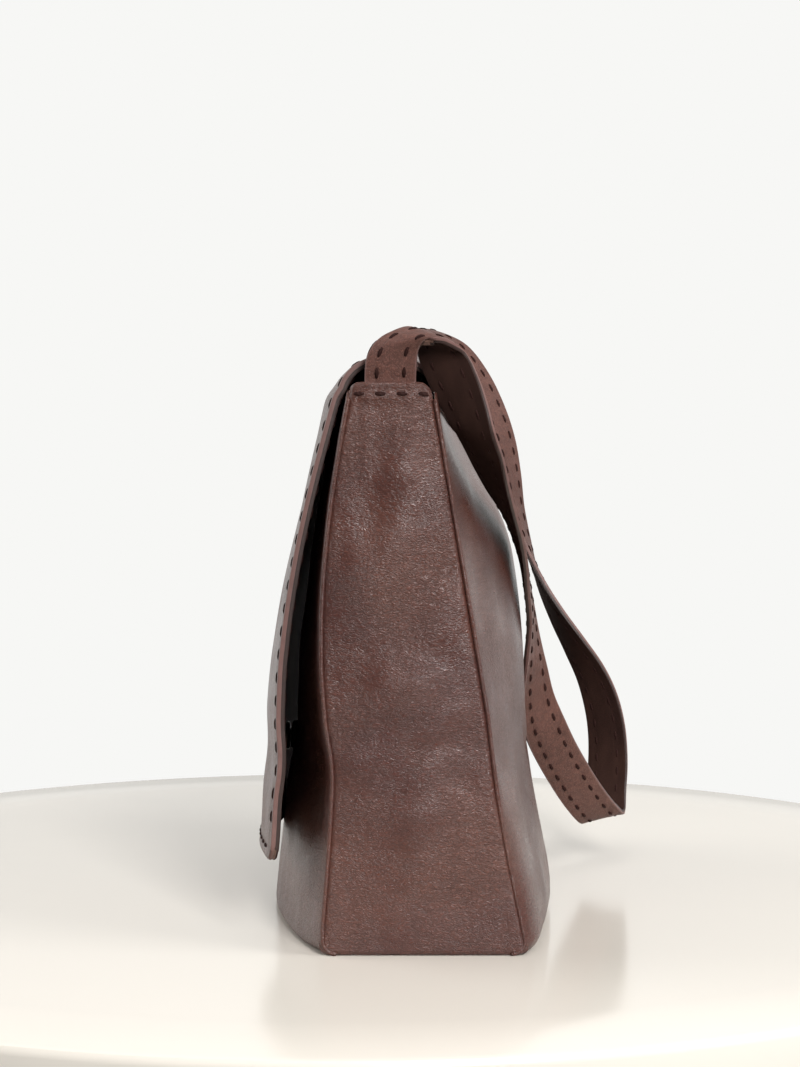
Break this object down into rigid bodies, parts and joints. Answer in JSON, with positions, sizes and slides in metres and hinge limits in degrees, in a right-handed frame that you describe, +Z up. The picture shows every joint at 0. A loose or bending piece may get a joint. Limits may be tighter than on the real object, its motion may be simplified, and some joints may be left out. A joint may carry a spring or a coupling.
{
  "type": "leather shoulder bag",
  "caption": "Flap-over leather shoulder bag with tapered end gussets, a stitched two-layer strap looped behind it, a lined interior and a magnetic snap under the flap.",
  "frame": {"origin": "centre of the flat underside, on the floor", "axes": "+X along the bag width, +Y towards the back panel, +Z up; the flap hangs on the -Y side"},
  "size_m": [0.3284, 0.1906, 0.2896],
  "materials": {
    "body_leather": "semi-gloss pebbled leather",
    "edge_leather": "semi-gloss leather",
    "pocket_leather": "matt leather",
    "flap_leather": "semi-gloss pebbled leather",
    "flap_lining_leather": "matt leather",
    "strap_leather": "semi-gloss leather",
    "strap_lining_leather": "matt leather",
    "lining_cloth": "woven cotton twill",
    "stiffener": "matt board",
    "snap_metal": "antique brass, satin",
    "washer_metal": "satin"
  },
  "bodies": {
    "bag": {"front_panel": "body_leather", "back_panel": "body_leather", "gusset_right": "body_leather", "gusset_left": "body_leather", "base_panel": "body_leather", "base_board": "stiffener", "front_facing": "edge_leather", "back_facing": "edge_leather", "front_lining": "lining_cloth", "back_lining": "lining_cloth", "gusset_lining_right": "lining_cloth", "gusset_lining_left": "lining_cloth", "base_lining": "lining_cloth", "slip_pocket": "pocket_leather", "flap_root": "flap_leather", "strap_end_right": "strap_leather", "strap_end_left": "strap_leather", "snap_socket": "snap_metal", "socket_washer": "washer_metal"},
    "flap": {"flap_outer": "flap_leather", "flap_lining": "flap_lining_leather", "snap_stud": "snap_metal", "stud_washer": "washer_metal"},
    "strap": {"strap_outer": "strap_leather", "strap_lining": "strap_lining_leather"}
  },
  "joints": [
    {"name": "flap_hinge", "type": "hinge", "parent": "bag", "child": "flap", "pos_m": [0, 0.0145, 0.252], "axis": [-1, 0, 0], "range_deg": [0, 75]},
    {"name": "strap_swing", "type": "hinge", "parent": "bag", "child": "strap", "pos_m": [0.153, 0.002, 0.27105], "axis": [0.9984, 0.0065, -0.057], "range_deg": [0, 150]}
  ]
}
